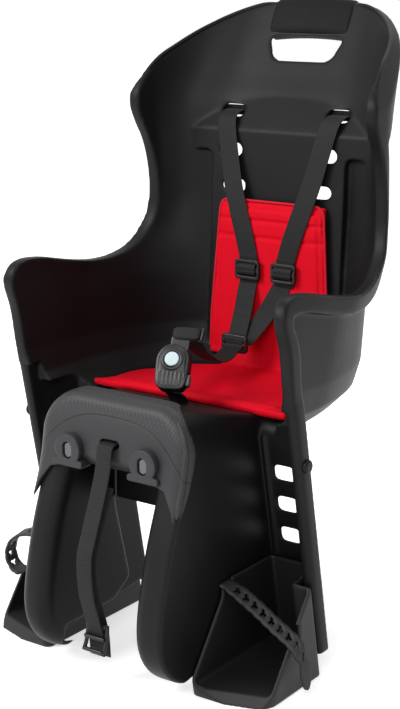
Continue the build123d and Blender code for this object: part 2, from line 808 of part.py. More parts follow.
# Strap for the carrier: a loop of webbing through the trim, closed by a ladder lock
rack_side = [
    (-133.9, strap_slot_z + 1), (-148, strap_slot_z + 0.5), (-153, strap_slot_z - 5), (-156, 68), (-166, 39),
    (-181, 2), (-189, -22), (-187, -60), (-178, -90), (-171.5, -112), (-169, -136),
]
with BuildPart() as rack_strap:
    extrude(band(rack_side, 2.2), amount=strap_wide / 2, both=True)

with BuildPart() as rack_strap_end:
    end_side = [
        (-150.6, 48), (-158.6, 30), (-173.6, -4), (-180.6, -26), (-178, -58), (-168.6, -88), (-162.1, -112),
        (-159.6, -140),
    ]
    extrude(band(end_side, 2.2), amount=strap_wide / 2, both=True)

lock_plane = Plane(origin=(0, -167.5, -116), x_dir=(1, 0, 0), z_dir=(0, -0.97, -0.24))
with BuildPart() as ladder_lock:
    with BuildSketch(lock_plane.offset(-2)):
        RectangleRounded(strap_wide + 10, 30, 4)
        with Locations((0, 7), (0, -7)):
            SlotOverall(strap_wide + 2, 6, mode=Mode.SUBTRACT)
    extrude(amount=4)

with BuildPart() as strap_anchor:
    with Locations((0, -131.5, strap_slot_z + 0.7)):
        Box(strap_wide + 12, 4, 14)

# Footrest: a scoop that slides on the rail wall; its plan leans with the rail
foot_back = rail_rib + 0.5 + 2 * run_gap
foot_nose = foot_front + lean * foot_low


def foot_plan(step):
    """Plan outline of the scoop, drawn in by a wall, clear of the slanted guard wall and the rim."""
    rear = rail_foot_y - foot_back - step
    near = rim_foot_y - 3 - step
    with BuildSketch(Plane.XY) as plan:
        with BuildLine():
            FilletPolyline(
                (foot_in + step, rear), (foot_mid - 0.6 * step, rear), (seat_half - 5 - step, rear - 42),
                (seat_half - 5 - step, near), (foot_out - step, near), (foot_out - step, foot_nose + step),
                (foot_in + step, foot_nose + step), close=True, radius=[3, 3, 3, 2, 3, 34 - step, 9 - step],
            )
        make_face()
    return plan.sketch


foot_cut = Plane(origin=(foot_in, -64, foot_high + 5), x_dir=(1, 0.305, 0), z_dir=(0.238, -0.781, 0.578))
with BuildPart() as footrest_right:
    extrude(foot_plan(0), amount=200 * stretch, dir=-guard_dir)
    with BuildPart(mode=Mode.INTERSECT):
        with Locations((150, -60, (foot_low + foot_high) / 2)):
            Box(200, 300, foot_high - foot_low)
    room = -(foot_low + foot_floor) * stretch
    extrude(foot_plan(foot_wall), amount=room, dir=-guard_dir, mode=Mode.SUBTRACT)
    with BuildSketch(foot_cut):
        Rectangle(400, 400)
    extrude(amount=200, mode=Mode.SUBTRACT)
    # guide tongue between the ribs
    with BuildSketch(Plane.YZ.offset(rail_x - rail_half + run_gap)):
        with BuildLine():
            tongue_high = foot_high - 4
            tongue_low = foot_low + 24
            high_y = rail_y(tongue_high)
            low_y = rail_y(tongue_low)
            Polyline(
                (high_y - foot_back - 1, tongue_high), (high_y - run_gap, tongue_high),
                (low_y - run_gap, tongue_low), (low_y - foot_back - 1, tongue_low), close=True,
            )
        make_face()
    extrude(amount=2 * rail_half - 2 * run_gap)
    # peg for the foot strap on the inner wall, slot for it in the outer wall
    with Locations((foot_in + foot_wall / 2, -73, foot_high - 16)):
        Box(foot_wall, 16, 17)
    with Locations((foot_in, -73, foot_high + 2)):
        Box(3 * foot_wall, 19, 20, mode=Mode.SUBTRACT)
    with Locations((foot_out, -73, foot_high - 44.55)):
        Box(20, 22, 21.1, mode=Mode.SUBTRACT)

strap_line = [
    (foot_in - 0.8, foot_high - 5), (foot_in + 4, foot_high - 6.2), (foot_in + 20, foot_high - 12),
    (foot_mid - 8, foot_high - 23.5), (foot_out - 23, foot_high - 38), (foot_out - 3, foot_high - 49.5),
    (foot_out + 7, foot_high - 60), (foot_out + 13, foot_high - 76), (foot_out + 18, foot_high - 98),
]
with BuildPart() as foot_strap_right:
    with BuildSketch(Plane.XZ.offset(64)):
        with BuildLine():
            Polyline(*inset(strap_line, 1.4), *reversed(inset(strap_line, -1.4)), close=True)
        make_face()
    extrude(amount=18)

with BuildPart() as side_cap_right:
    with BuildSketch(Plane.YZ.offset(shell_x)):
        with Locations((rim_y(80) + lip_depth / 2, 80)):
            Circle(7.5)
    extrude(amount=4)
    fillet(side_cap_right.faces().sort_by(Axis.X)[-1].edges(), 3)

# Mirrored pieces of the left side
pairs = {
    "support_rod": support_rod_right, "rod_collar": rod_collar_right, "strap_adjuster": strap_adjuster_right,
    "shoulder_strap": shoulder_strap_right, "strap_stop": strap_stop_right, "footrest": footrest_right,
    "foot_strap": foot_strap_right, "side_cap": side_cap_right,
}
pieces = {
    "seat_shell": seat_shell, "carrier_block": carrier_block, "pan_screws": pan_screws,
    "arch_trim": arch_trim, "handle_grip": handle_grip, "seat_pad": seat_pad,
    "lower_strap_right": lower_strap_right, "lower_strap_left": lower_strap_left,
    "harness_yoke": harness_yoke, "yoke_strap": yoke_strap,
    "buckle_body": buckle_body, "buckle_button": buckle_button, "button_spring": button_spring,
    "buckle_tab_right": buckle_tab_right, "buckle_tab_left": buckle_tab_left, "buckle_tongue": buckle_tongue,
    "crotch_strap": crotch_strap, "crotch_stop": crotch_stop, "rack_strap": rack_strap,
    "rack_strap_end": rack_strap_end, "ladder_lock": ladder_lock, "strap_anchor": strap_anchor,
}
for name, piece in pairs.items():
    with BuildPart() as left:
        mirror(piece.part, about=Plane.YZ)
    pieces[name + "_right"] = piece
    pieces[name + "_left"] = left

for name, piece in pieces.items():
    piece.part.label = name
    export_step(piece.part, "parts/" + name + ".step")
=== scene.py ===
# %% [markdown]
# # A child bike seat for a rear carrier
# The seat is a black moulded bucket with leg guards, a red pad, a five-point harness and two footrests.
# The measured model gives every piece its place, so this lesson loads it as a fixed frame first. Everything
# made later is in metres and in that same frame.

# %% Load the measured frame
from math import pi, radians

import bmesh
import bpy
import numpy as np
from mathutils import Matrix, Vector
from mathutils.geometry import delaunay_2d_cdt


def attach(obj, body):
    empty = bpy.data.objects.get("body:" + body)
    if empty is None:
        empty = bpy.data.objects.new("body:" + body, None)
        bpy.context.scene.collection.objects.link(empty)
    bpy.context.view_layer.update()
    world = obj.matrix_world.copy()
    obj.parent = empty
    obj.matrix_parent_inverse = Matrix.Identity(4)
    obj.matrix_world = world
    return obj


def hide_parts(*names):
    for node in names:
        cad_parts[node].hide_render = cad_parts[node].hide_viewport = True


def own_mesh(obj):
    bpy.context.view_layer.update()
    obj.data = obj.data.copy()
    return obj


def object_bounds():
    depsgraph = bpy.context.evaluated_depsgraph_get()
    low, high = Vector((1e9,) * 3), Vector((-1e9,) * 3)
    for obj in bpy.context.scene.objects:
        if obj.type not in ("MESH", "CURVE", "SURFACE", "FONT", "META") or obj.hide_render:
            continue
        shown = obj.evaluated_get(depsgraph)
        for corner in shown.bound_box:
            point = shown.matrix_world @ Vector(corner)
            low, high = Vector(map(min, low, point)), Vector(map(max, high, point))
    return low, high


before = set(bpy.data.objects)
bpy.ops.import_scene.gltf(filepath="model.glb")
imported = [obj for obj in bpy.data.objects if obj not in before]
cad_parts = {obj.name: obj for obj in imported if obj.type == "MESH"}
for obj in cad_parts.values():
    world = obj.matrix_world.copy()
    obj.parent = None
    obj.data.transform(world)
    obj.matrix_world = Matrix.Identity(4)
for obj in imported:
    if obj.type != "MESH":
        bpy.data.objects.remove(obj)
cad_low, cad_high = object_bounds()

# %% [markdown]
# ## Small helpers
# A colour is written as a screen hex value and turned to linear light once. One function adds a shader node:
# a value goes to the socket or the property of that name, and another node's output is linked.

# %% Colour and node helpers


def linear(code):
    """sRGB hex to linear RGBA: c/12.92 below 0.04045, else ((c+0.055)/1.055)^2.4."""
    c = np.array([int(code[i:i + 2], 16) for i in (1, 3, 5)]) / 255
    c = np.where(c <= 0.04045, c / 12.92, ((c + 0.055) / 1.055) ** 2.4)
    return (*c.tolist(), 1.0)


def node(tree, kind, sockets=None, **settings):
    """Adds a shader node, sets its properties, and sets or links the sockets that are named."""
    made = tree.nodes.new("ShaderNode" + kind)
    for key, value in settings.items():
        setattr(made, key, value)
    for key, value in (sockets or {}).items():
        if isinstance(value, bpy.types.NodeSocket):
            tree.links.new(value, made.inputs[key])
        else:
            made.inputs[key].default_value = value
    return made


def blank(name):
    """A new material, its tree, its shader, and Object coordinates in millimetres."""
    mat = bpy.data.materials.new(name)
    mat.use_nodes = True
    tree = mat.node_tree
    shader = tree.nodes["Principled BSDF"]
    place = node(tree, "TexCoord").outputs["Object"]
    mm = node(tree, "Mapping", {"Vector": place, "Scale": (1000, 1000, 1000)}).outputs["Vector"]
    return mat, tree, shader, mm


def stops(tree, factor, *colours):
    """A colour ramp with (position, hex) stops."""
    ramp = node(tree, "ValToRGB", {"Fac": factor})
    band = ramp.color_ramp.elements
    for k, (at, code) in enumerate(colours):
        stop = band[k] if k < 2 else band.new(at)
        stop.position = at
        stop.color = linear(code)
    return ramp.outputs["Color"]


print("helpers ready")

# %% [markdown]
# ## Finishes
# Each finish starts from the real stuff. The bucket is polypropylene moulded in a tool with a fine spark
# texture: nearly black, with a soft broad sheen and a grain that only shows where light grazes it.
# The grain is about 0.3 mm on the real seat and is drawn at 1.4 mm here, so that it shows in the picture.
# Each call below gives two colours, the roughness, the grain's size and depth in millimetres, and the gloss.

# %% Moulded black polypropylene


def moulded(name, dark, light, rough, grain, depth, gloss=0.5):
    """Moulded plastic: colour drifts over 90 mm, roughness over 35 mm, and the grain has a size in mm."""
    mat, tree, shader, mm = blank(name)
    drift = node(tree, "TexNoise", {"Vector": mm, "Scale": 1 / 90, "Detail": 3}).outputs["Fac"]
    tree.links.new(stops(tree, drift, (0.3, dark), (0.7, light)), shader.inputs["Base Color"])
    patch = node(tree, "TexNoise", {"Vector": mm, "Scale": 1 / 35, "Detail": 4}).outputs["Fac"]
    sheen = node(tree, "MapRange", {"Value": patch, "To Min": rough - 0.05, "To Max": rough + 0.05})
    tree.links.new(sheen.outputs["Result"], shader.inputs["Roughness"])
    fine = node(tree, "TexNoise", {"Vector": mm, "Scale": 1 / grain, "Detail": 2}).outputs["Fac"]
    bump = node(tree, "Bump", {"Height": fine, "Strength": 0.5, "Distance": depth / 1000})
    tree.links.new(bump.outputs["Normal"], shader.inputs["Normal"])
    shader.inputs["IOR"].default_value = 1.49
    shader.inputs["Specular IOR Level"].default_value = gloss
    return mat


black_shell = moulded("moulded_black_polypropylene", "#131314", "#19191a", 0.45, 1.4, 0.05, 0.14)
footrest_plastic = moulded("moulded_black_footrest", "#1b1b1c", "#212123", 0.5, 1.2, 0.06, 0.3)
hardware = moulded("black_acetal", "#131314", "#191919", 0.36, 0.9, 0.03, 0.35)
grey_tab = moulded("grey_release_tab", "#55575a", "#5d5f62", 0.45, 1.0, 0.04)
pale_button = moulded("pale_blue_button", "#c3d6da", "#cbdde0", 0.35, 1.0, 0.02)
grip_rubber = moulded("soft_grip_rubber", "#080808", "#0c0c0c", 0.62, 1.6, 0.3, 0.14)
strap_rubber = moulded("foot_strap_rubber", "#2a2a2b", "#313132", 0.5, 1.1, 0.06, 0.3)
binding_tape = moulded("red_binding_tape", "#c41428", "#ce2236", 0.7, 0.8, 0.08, 0.2)
print("moulded finishes ready")

# %% [markdown]
# The grey trim has two textures from one tool: a smooth plate round the rod collars, and above it a band with
# small dimples 3.6 mm apart. The plate's upper edge is the curve z = 121 - 38 (|x| / 88)^3, in millimetres.
# The band is a little paler, and a fine groove runs along the edge between them. Painted shade is laid into
# the
# colour: the dimple hollows and the groove are darker, and the ridges between the dimples are paler.

# %% Two-texture trim


def two_textures():
    """Grey moulding: smooth below the curve, dimpled above, a groove along the curve; painted shade darkens
    both.
    """
    mat, tree, shader, mm = blank("grey_moulded_trim")
    xyz = node(tree, "SeparateXYZ", {"Vector": mm})
    wide = node(tree, "Math", {0: xyz.outputs["X"]}, operation="ABSOLUTE").outputs["Value"]
    share = node(tree, "Math", {0: wide, 1: 88.0}, operation="DIVIDE").outputs["Value"]
    cube = node(tree, "Math", {0: share, 1: 3.0}, operation="POWER").outputs["Value"]
    drop = node(tree, "Math", {0: cube, 1: 38.0}, operation="MULTIPLY").outputs["Value"]
    level = node(tree, "Math", {0: xyz.outputs["Z"], 1: drop}, operation="ADD").outputs["Value"]
    band = node(tree, "MapRange", {"Value": level, "From Min": 120.4, "From Max": 121.6}).outputs["Result"]
    near = node(tree, "Math", {0: level, 1: 121.0}, operation="SUBTRACT").outputs["Value"]
    close = node(tree, "Math", {0: near}, operation="ABSOLUTE").outputs["Value"]
    groove = node(tree, "MapRange", {"Value": close, "From Min": 0.3, "From Max": 1.2}).outputs["Result"]
    fold = node(tree, "Math", {0: xyz.outputs["Z"], 1: xyz.outputs["Y"]}, operation="SUBTRACT")
    sheet = node(tree, "CombineXYZ", {"X": xyz.outputs["X"], "Y": fold.outputs["Value"]}).outputs["Vector"]
    turned = node(tree, "Mapping", {"Vector": sheet, "Rotation": (0, 0, pi / 4)}).outputs["Vector"]
    cells = node(tree, "TexVoronoi", {"Vector": turned, "Scale": 1 / 3.6, "Randomness": 0.0},
                 voronoi_dimensions="2D").outputs["Distance"]
    dimple = node(tree, "Math", {0: cells, 1: band}, operation="MULTIPLY").outputs["Value"]
    relief = node(tree, "Math", {0: dimple, 1: groove}, operation="ADD").outputs["Value"]
    # Painted shade: the colour is darkest in each dimple's hollow and along the groove, and palest on the
    # ridges.
    painted_hollow_shade = node(tree, "Math", {0: band, 1: cells}, operation="MULTIPLY_ADD").outputs["Value"]
    tree.links.new(groove, painted_hollow_shade.node.inputs[2])
    tree.links.new(stops(tree, painted_hollow_shade, (0.2, "#121213"), (1.0, "#2a2a2c"), (1.6, "#2e2e30")),
                   shader.inputs["Base Color"])
    bump = node(tree, "Bump", {"Height": relief, "Strength": 0.7, "Distance": 0.0006})
    tree.links.new(bump.outputs["Normal"], shader.inputs["Normal"])
    shader.inputs["Roughness"].default_value = 0.48
    shader.inputs["Specular IOR Level"].default_value = 0.3
    return mat


grey_trim = two_textures()
print("trim finish ready")

# %% [markdown]
# The rods are drawn steel: fine scratches run along the rod, so the roughness is stretched that way.

# %% Drawn steel


def drawn_steel():
    """Dark plated steel with scratches 0.4 mm wide and 30 mm long along Y."""
    mat, tree, shader, mm = blank("dark_drawn_steel")
    lines = node(tree, "Mapping", {"Vector": mm, "Scale": (1 / 0.4, 1 / 30, 1 / 0.4)}).outputs["Vector"]
    scratch = node(tree, "TexNoise", {"Vector": lines, "Scale": 1.0, "Detail": 2}).outputs["Fac"]
    tree.links.new(stops(tree, scratch, (0.3, "#4c4d4f"), (0.7, "#626365")), shader.inputs["Base Color"])
    rough = node(tree, "MapRange", {"Value": scratch, "To Min": 0.22, "To Max": 0.4})
    tree.links.new(rough.outputs["Result"], shader.inputs["Roughness"])
    shader.inputs["Metallic"].default_value = 1.0
    return mat


bright_steel = drawn_steel()
print("steel ready")

# %% [markdown]
# The webbing is woven polypropylene. A UV map in millimetres runs along and across each strap, so the weave
# follows every bend: cross ribs 2 mm apart, and finer yarns 1.3 mm apart along the strap.
# The pad cover is a red polyester weave with threads 1.6 mm apart, on Object coordinates.

# %% Woven finishes


def bands(tree, mm, pitch, waver, direction):
    """Parallel threads a pitch apart in mm: a band wave repeats every pi / 10 / Scale."""
    return node(tree, "TexWave", {"Vector": mm, "Scale": pi / 10 / pitch, "Distortion": waver},
                wave_type="BANDS", bands_direction=direction).outputs["Fac"]


def woven_strap():
    """Webbing on a UV map in metres: ribs across the strap and finer yarns along it."""
    mat, tree, shader, _ = blank("black_woven_webbing")
    uv = node(tree, "UVMap", uv_map="UVMap").outputs["UV"]
    mm = node(tree, "Mapping", {"Vector": uv, "Scale": (1000, 1000, 1000)}).outputs["Vector"]
    ribs = bands(tree, mm, 2.0, 0.4, "X")
    yarns = bands(tree, mm, 1.3, 0.3, "Y")
    weave = node(tree, "Math", {0: ribs, 1: yarns}, operation="MULTIPLY").outputs["Value"]
    tree.links.new(stops(tree, weave, (0.0, "#0a0a0b"), (1.0, "#151516")), shader.inputs["Base Color"])
    bump = node(tree, "Bump", {"Height": weave, "Strength": 0.7, "Distance": 0.0004})
    tree.links.new(bump.outputs["Normal"], shader.inputs["Normal"])
    shader.inputs["Roughness"].default_value = 0.66
    shader.inputs["Specular IOR Level"].default_value = 0.3
    return mat


def red_weave():
    """Red weave: two crossing sets of threads 1.6 mm apart and a slow colour drift."""
    mat, tree, shader, mm = blank("red_polyester_weave")
    drift = node(tree, "TexNoise", {"Vector": mm, "Scale": 1 / 30, "Detail": 4}).outputs["Fac"]
    warp = bands(tree, mm, 1.6, 0.6, "X")
    weft = bands(tree, mm, 1.6, 0.6, "DIAGONAL")
    weave = node(tree, "Math", {0: warp, 1: weft}, operation="MULTIPLY").outputs["Value"]
    mixed = node(tree, "Math", {0: drift, 1: weave}, operation="MULTIPLY").outputs["Value"]
    tree.links.new(stops(tree, mixed, (0.0, "#d4001c"), (0.6, "#e40024")), shader.inputs["Base Color"])
    bump = node(tree, "Bump", {"Height": weave, "Strength": 0.5, "Distance": 0.0003})
    tree.links.new(bump.outputs["Normal"], shader.inputs["Normal"])
    shader.inputs["Roughness"].default_value = 0.75
    shader.inputs["Specular IOR Level"].default_value = 0.15
    return mat


webbing = woven_strap()
red_cover = red_weave()
print("woven finishes ready")

# %% [markdown]
# ## Stage
# The seat is shown on a white ground. The floor is white to the camera and still takes the seat's shadow.
# A large soft box stands to the left of the camera and a weaker one above it, as in a product studio.

# %% Floor, sky and lamps


def looked_at(tree):
    """1 for camera, glossy and transmission rays, and 0 for the rays that carry light to the seat."""
    path = node(tree, "LightPath").outputs
    mirrored = node(tree, "Math", {0: path["Is Camera Ray"], 1: path["Is Glossy Ray"]}, operation="MAXIMUM")
    return node(tree, "Math", {0: mirrored.outputs["Value"], 1: path["Is Transmission Ray"]},
                operation="MAXIMUM").outputs["Value"]


def pale_ground():
    """Pale paper: white to the camera far from the seat through a painted glow, weaker near the seat, where
    the shadow shows.
    """
    mat, tree, shader, mm = blank("pale_paper")
    grain = node(tree, "TexNoise", {"Vector": mm, "Scale": 1 / 4, "Detail": 3}).outputs["Fac"]
    tree.links.new(stops(tree, grain, (0.2, "#f4f4f4"), (0.8, "#f8f8f8")), shader.inputs["Base Color"])
    shader.inputs["Roughness"].default_value = 0.9
    # Painted light: a camera-only glow rises from 0.62 at 250 mm to 1 at 700 mm from the origin, hiding the
    # lamps' falloff.
    away = node(tree, "VectorMath", {0: mm}, operation="LENGTH").outputs["Value"]
    painted_glow_away_from_seat = node(tree, "MapRange", {"Value": away, "From Min": 250, "From Max": 700, "To Min": 0.62,
                                     "To Max": 1.0}).outputs["Result"]
    shown = node(tree, "Math", {0: painted_glow_away_from_seat, 1: looked_at(tree)}, operation="MULTIPLY").outputs["Value"]
    shader.inputs["Emission Color"].default_value = linear("#ffffff")
    tree.links.new(shown, shader.inputs["Emission Strength"])
    return mat


floor_z = cad_low.z - 0.0005
side = 9.0
floor_mesh = bpy.data.meshes.new("floor")
floor_mesh.from_pydata(
    [(-side, -side, floor_z), (side, -side, floor_z), (side, side, floor_z), (-side, side, floor_z)], [],
    [(0, 1, 2, 3)],
)
floor = bpy.data.objects.new("floor", floor_mesh)
floor_mesh.materials.append(pale_ground())
bpy.context.scene.collection.objects.link(floor)

world = bpy.data.worlds.new("studio")
bpy.context.scene.world = world
world.use_nodes = True
sky = world.node_tree
for old in list(sky.nodes):
    sky.nodes.remove(old)
dim = node(sky, "Background", {"Color": linear("#ffffff"), "Strength": 0.2}).outputs["Background"]
white = node(sky, "Background", {"Color": linear("#ffffff"), "Strength": 1.0}).outputs["Background"]
both = node(sky, "MixShader", {0: looked_at(sky), 1: dim, 2: white}).outputs["Shader"]
node(sky, "OutputWorld", {"Surface": both})


def soft_box(name, place, target, size, power):
    """A square area lamp that faces a target."""
    lamp = bpy.data.lights.new(name, "AREA")
    lamp.shape = "SQUARE"
    lamp.size = size
    lamp.energy = power
    held = bpy.data.objects.new(name, lamp)
    held.location = place
    held.rotation_euler = (Vector(target) - Vector(place)).to_track_quat("-Z", "Y").to_euler()
    bpy.context.scene.collection.objects.link(held)


middle = (0, 0.05, 0.2)
soft_box("key_box", (-1.1, -1.7, 1.7), middle, 1.2, 50)
soft_box("fill_box", (0.9, -1.9, 1.6), middle, 1.2, 22)
soft_box("top_box", (0.1, 0.9, 2.0), middle, 1.2, 12)
print("stage ready, floor at", round(floor_z, 4))

# %% [markdown]
# ## Camera
# The picture was taken from the seat's front left, 35 degrees round and 14 degrees above the pan, with a
# long lens. Its place was solved from points found both in the picture and on the measured model.

# %% Camera
lens = bpy.data.cameras.new("camera")
lens.sensor_width = 36
lens.lens = 78.70
camera = bpy.data.objects.new("camera", lens)
camera.location = (0.97449, -1.35563, 0.57798)
camera.rotation_euler = (radians(90 - 14.0349), 0, radians(35.3166))
bpy.context.scene.collection.objects.link(camera)
bpy.context.scene.camera = camera
bpy.context.scene.view_settings.view_transform = "Standard"
print("camera ready")

# %% [markdown]
# ## Measured pieces and their finishes
# Pieces whose measured shape is right stay as they are and only take a finish.

# %% Finishes on the measured pieces
finish_of = {
    "black_shell": black_shell, "footrest_plastic": footrest_plastic, "grey_trim": grey_trim,
    "grip_rubber": grip_rubber, "red_pad": red_cover, "black_webbing": hardware,
    "black_hardware": hardware, "pale_button": pale_button, "grey_tab": grey_tab,
    "bright_steel": bright_steel,
}
for name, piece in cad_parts.items():
    given = piece.data.materials[0].name.split(".")[0] if piece.data.materials else "black_shell"
    piece.data.materials.clear()
    piece.data.materials.append(finish_of.get(given, black_shell))
print("finished", len(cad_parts), "measured pieces")

# %% [markdown]
# ## Soft moulded edges
# Moulded parts have no sharp edges. The measured solids do, so a fine voxel remesh and a few smoothing steps
# are laid over them as modifiers. The large shell is thinned again afterwards, because flat areas need few
# faces. Smoothing shrinks a thin piece, so the trim is grown back by half a millimetre along its normals.
# A voxel has to be well under a wall's thickness. The arch's ramp is too thin for that and gets its own skin.

# %% Soft edges


def soften(name, voxel, steps, keep=1.0, swell=0.0):
    """Remesh at a voxel size in mm, smooth, swell along the normals and keep a share of the faces."""
    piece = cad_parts[name]
    skin = piece.modifiers.new("moulded_skin", "REMESH")
    skin.mode = "VOXEL"
    skin.voxel_size = voxel / 1000
    skin.use_smooth_shade = True
    ease = piece.modifiers.new("soft_edges", "SMOOTH")
    ease.factor = 0.5
    ease.iterations = steps
    if swell > 0:
        grow = piece.modifiers.new("regrown", "DISPLACE")
        grow.direction = "NORMAL"
        grow.mid_level = 0.0
        grow.strength = swell / 1000
    if keep < 1:
        thin = piece.modifiers.new("thinned", "DECIMATE")
        thin.ratio = keep


soften("seat_shell", 1.8, 16, 0.18)
soften("arch_trim", 0.9, 5, 0.5, 0.5)
for part in ("footrest_right", "footrest_left"):
    soften(part, 1.8, 4, 0.8)
for part in ("harness_yoke", "strap_adjuster_right", "strap_adjuster_left", "rod_collar_right",
             "rod_collar_left"):
    soften(part, 0.8, 3)
print("edges softened")

# %% [markdown]
# ## Building surfaces
# Every new piece is a grid of points: rows along the piece, columns round its section. One function turns
# such a grid into a closed mesh with outward faces. Grids are written in millimetres, as the measured model
# is, and become metres here. Another reads a smooth line through a few route points, and a third squares off
# a round section: the smaller the power, the fuller its corners.

# %% Grid surfaces and smooth lines


def surface(name, grid, finish, uv=None):
    """Mesh of P[i, j]: quads between rows, closed round the columns, with both ends capped."""
    rows, cols = grid.shape[:2]
    index = np.arange(rows * cols).reshape(rows, cols)
    after = np.roll(index, -1, axis=1)
    quads = np.stack([index[:-1], after[:-1], after[1:], index[1:]], axis=-1).reshape(-1, 4)
    mesh = bpy.data.meshes.new(name)
    ends = [index[0, ::-1].tolist(), index[-1].tolist()]
    mesh.from_pydata((grid.reshape(-1, 3) / 1000).tolist(), [], quads.tolist() + ends)
    if uv is not None:
        corner = np.empty(len(mesh.loops), dtype=np.int32)
        mesh.loops.foreach_get("vertex_index", corner)
        layer = mesh.uv_layers.new(name="UVMap")
        layer.data.foreach_set("uv", (uv.reshape(-1, 2)[corner] / 1000).astype(np.float32).ravel())
    return placed(name, mesh, finish)


def placed(name, mesh, finish):
    """Links a mesh at the origin with outward, smooth faces and one finish."""
    body = bmesh.new()
    body.from_mesh(mesh)
    bmesh.ops.recalc_face_normals(body, faces=body.faces)
    body.to_mesh(mesh)
    body.free()
    mesh.polygons.foreach_set("use_smooth", np.ones(len(mesh.polygons), dtype=bool))
    mesh.materials.append(finish)
    made = bpy.data.objects.new(name, mesh)
    bpy.context.scene.collection.objects.link(made)
    return made


def smooth_line(points, step):
    """Catmull-Rom line through route points, read at even steps of arc length."""
    p = np.asarray(points, dtype=float)
    p = np.vstack([2 * p[0] - p[1], p, 2 * p[-1] - p[-2]])
    t = np.linspace(0, 1, 25)[:-1, None]
    a, b, c, d = (p[k:len(p) - 3 + k, None, :] for k in range(4))
    fine = 0.5 * (2 * b + (c - a) * t + (2 * a - 5 * b + 4 * c - d) * t**2 + (3 * b - a - 3 * c + d) * t**3)
    fine = np.vstack([fine.reshape(-1, p.shape[1]), p[-2]])
    run = np.concatenate([[0], np.cumsum(np.linalg.norm(np.diff(fine, axis=0), axis=1))])
    at = np.linspace(0, run[-1], max(int(run[-1] / step), 8) + 1)
    return np.stack([np.interp(at, run, column) for column in fine.T], axis=1), at


def squared(wave, power):
    """sign(w) |w|^p of a cosine or sine."""
    return np.sign(wave) * np.abs(wave) ** power


def panel_y(z):
    """Front of the back panel at a height, in millimetres."""
    return 165 + 0.034 * (np.asarray(z, dtype=float) - 107)


print("surface helpers ready")

# %% [markdown]
# ## Harness webbing
# Webbing is a flat woven tape with thick rounded edges. Each run is drawn as a thin oval section carried
# along its route: the route's side view comes from how the strap lies on the pad, and its sideways place from
# the front view. Fine ribs every 2.4 mm are real relief, so that they show on the mesh too, and the carrier
# strap is coarser. Each run lists its side view, its sideways places, the axis they are read on and its size.

# %% Webbing runs


def ribbon(name, side, across, by, wide, thick, pitch=2.4, depth=0.07):
    """P(s, a) = C(s) + w/2 cos(a)^(1/3) A(s) + h/2 (1 + d cos(2 pi s/p)) sin(a)^(1/2) N(s)."""
    yz, s = smooth_line(side, pitch / 4)
    order = np.argsort([row[1] for row in across])
    keys = np.array(across, dtype=float)[order]
    x = np.interp(yz[:, by], keys[:, 1], keys[:, 0])
    x = np.convolve(np.pad(x, 20, mode="edge"), np.ones(41) / 41, mode="valid")
    line = np.column_stack([x, yz])
    run = np.gradient(line, axis=0)
    run /= np.linalg.norm(run, axis=1, keepdims=True)
    flat = np.gradient(yz, axis=0)
    flat /= np.linalg.norm(flat, axis=1, keepdims=True)
    normal = np.column_stack([np.zeros(len(s)), -flat[:, 1], flat[:, 0]])
    edge = np.cross(run, normal)
    edge /= np.linalg.norm(edge, axis=1, keepdims=True)
    a = np.linspace(0, 2 * pi, 20, endpoint=False)
    u = squared(np.cos(a), 1 / 3)
    v = squared(np.sin(a), 1 / 2)
    rib = 1 + depth * np.cos(2 * pi * s / pitch)
    grid = line[:, None] + wide / 2 * u[None, :, None] * edge[:, None]
    grid = grid + thick / 2 * (rib[:, None] * v[None])[..., None] * normal[:, None]
    uv = np.stack(np.broadcast_arrays(s[:, None], wide / 2 * u[None]), axis=-1)
    made = surface(name, grid, webbing, uv)
    print(name, "is", round(float(s[-1])), "mm long")
    return made


shoulder_z = np.array([412.5, 411.5, 404, 385, 345, 312, 270, 226])
shoulder_y = panel_y(shoulder_z) + np.array([24.6, 12.65, 0.9, -3.95, -8.1, -11.5, -13.5, -13.55])
shoulder_side = np.column_stack([shoulder_y, shoulder_z])
shoulder_front = np.array([(73, 424), (72, 408), (54, 332), (30, 260), (25, 240), (24, 214)])
lower_right = [(158.4, 238), (158.4, 220), (152.5, 198), (144.5, 176), (132.5, 157), (123.5, 148)]
lower_left = [(158.4, 238), (158.4, 222), (150, 200), (140.5, 177), (128, 156.5), (119, 147.5)]
yoke_side = [(112.6, 152), (109, 145), (80, 140), (40, 146), (0, 166), (-14, 181)]
crotch_side = [(-28, 108), (-31, 113.5), (-37, 121), (-46, 127), (-58, 134)]
rack_side = [
    (-133.9, 94), (-148, 93.5), (-153, 88), (-156, 68), (-166, 39), (-181, 2), (-189, -22), (-187, -60),
    (-178, -90), (-171.5, -112), (-169, -136),
]
end_side = [
    (-150.6, 48), (-158.6, 30), (-173.6, -4), (-180.6, -26), (-178, -58), (-168.6, -88), (-162.1, -112),
    (-159.6, -140),
]
harness = (25, 1.6)
carrier = (20, 2.2)
carrier_rib = (3.2, 0.16)
runs = {
    "shoulder_strap_right": (shoulder_side, shoulder_front, 1, *harness),
    "shoulder_strap_left": (shoulder_side, shoulder_front * (-1, 1), 1, *harness),
    "lower_strap_right": (lower_right, [(25, 246), (24, 222), (10, 190), (-16, 140)], 1, *harness),
    "lower_strap_left": (lower_left, [(-25, 246), (-26, 210), (-24, 170), (-20, 140)], 1, *harness),
    "yoke_strap": (yoke_side, [(-18, 124), (-16, 100), (10, 20), (16, -24)], 0, *harness),
    "crotch_strap": (crotch_side, [(4, -20), (7, -32), (14, -46), (20, -62)], 0, *harness),
    "rack_strap": (rack_side, [(0, -200), (0, 200)], 0, *carrier, *carrier_rib),
    "rack_strap_end": (end_side, [(0, -200), (0, 200)], 0, *carrier, *carrier_rib),
}
threaded = [(155.4, 246), (155, 240), (149.2, 234.5), (148.8, 230), (149.2, 225.5), (155, 220), (155.4, 214)]
for name, shape in runs.items():
    run = ribbon("webbing_" + name, *shape)
    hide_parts(name)
    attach(run, "seat")
